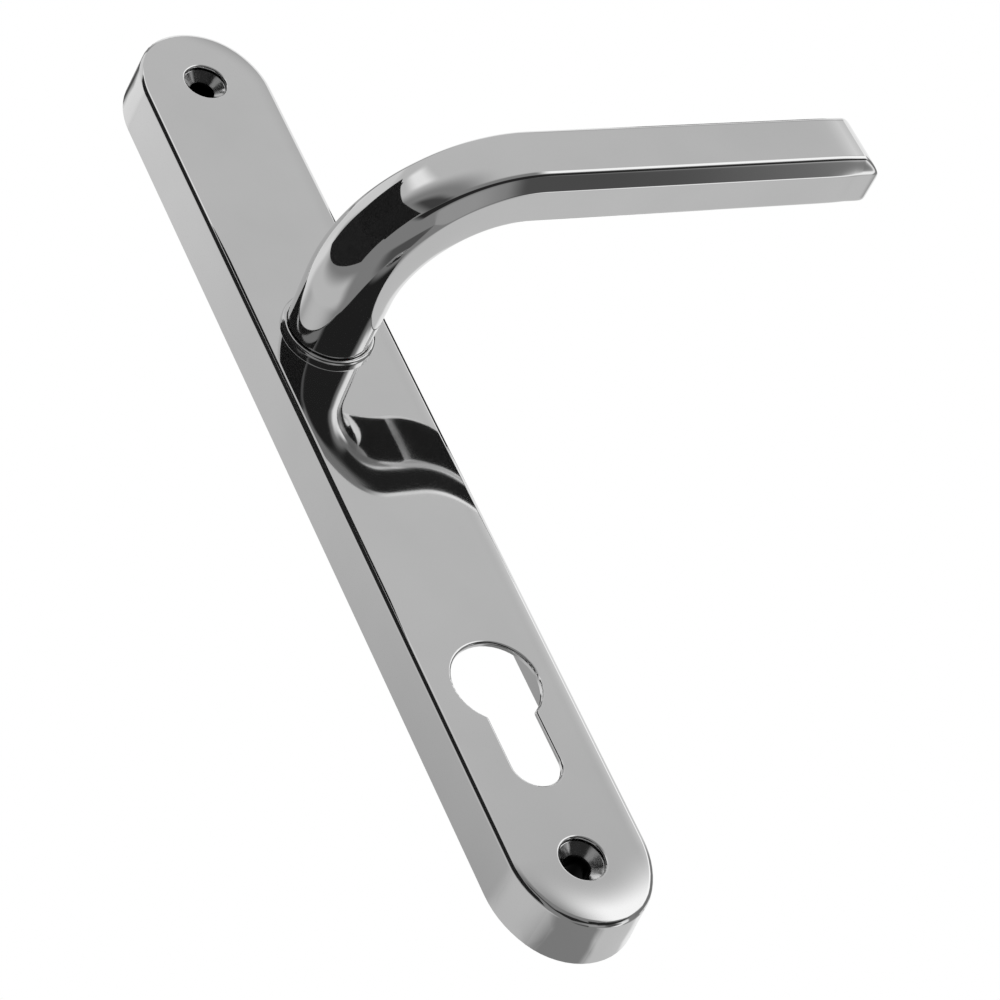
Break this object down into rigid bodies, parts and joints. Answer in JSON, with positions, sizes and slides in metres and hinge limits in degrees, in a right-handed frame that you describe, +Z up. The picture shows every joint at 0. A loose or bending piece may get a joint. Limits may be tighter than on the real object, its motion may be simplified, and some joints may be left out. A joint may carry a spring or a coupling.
{
  "type": "lever door handle",
  "caption": "Lever door handle on a long narrow backplate with a euro-profile cylinder cut-out, sprung to return level.",
  "frame": {"origin": "where the spindle axis meets the door face (the back plane of the backplate)", "axes": "+Z up along the backplate, +Y into the door, so the front faces -Y, +X along the lever's grip at rest"},
  "size_m": [0.133, 0.0638, 0.2399],
  "materials": {
    "polished_chrome_cover": "mirror-polished chrome plate on pressed steel",
    "polished_chrome_lever": "mirror-polished chrome plate on die-cast zinc",
    "polished_chrome_collar": "chrome plate on die-cast zinc",
    "dark_plated_pillar": "turned steel, zinc plated, in shadow",
    "black_nylon_insert": "moulded glass-filled nylon",
    "natural_nylon": "moulded acetal, slightly glossy",
    "die_cast_zinc": "as-cast zinc, matt",
    "zinc_plated_steel": "bright zinc plate",
    "spring_steel": "oiled spring wire"
  },
  "bodies": {
    "backplate": {"cover_plate": "polished_chrome_cover", "bearing_collar": "polished_chrome_collar", "fixing_pillar_top": "dark_plated_pillar", "fixing_pillar_bottom": "dark_plated_pillar", "end_insert_top": "black_nylon_insert", "end_insert_bottom": "black_nylon_insert", "neck_bush": "natural_nylon", "thrust_washer": "natural_nylon", "spring_frame": "die_cast_zinc", "cassette_lid": "zinc_plated_steel", "cassette_screws": "zinc_plated_steel", "anchor_pin": "zinc_plated_steel", "return_spring": "spring_steel"},
    "lever_body": {"lever": "polished_chrome_lever", "retaining_clip": "spring_steel", "spring_washer": "spring_steel", "driver_plate": "zinc_plated_steel", "drive_pin": "zinc_plated_steel"}
  },
  "joints": [
    {"name": "lever_turn", "type": "hinge", "parent": "backplate", "child": "lever_body", "pos_m": [0, 0, 0], "axis": [0, 1, 0], "range_deg": [-45, 45], "stiffness_Nm_per_rad": 1.6, "springref_deg": -4.01, "deforming": ["return_spring"]}
  ]
}
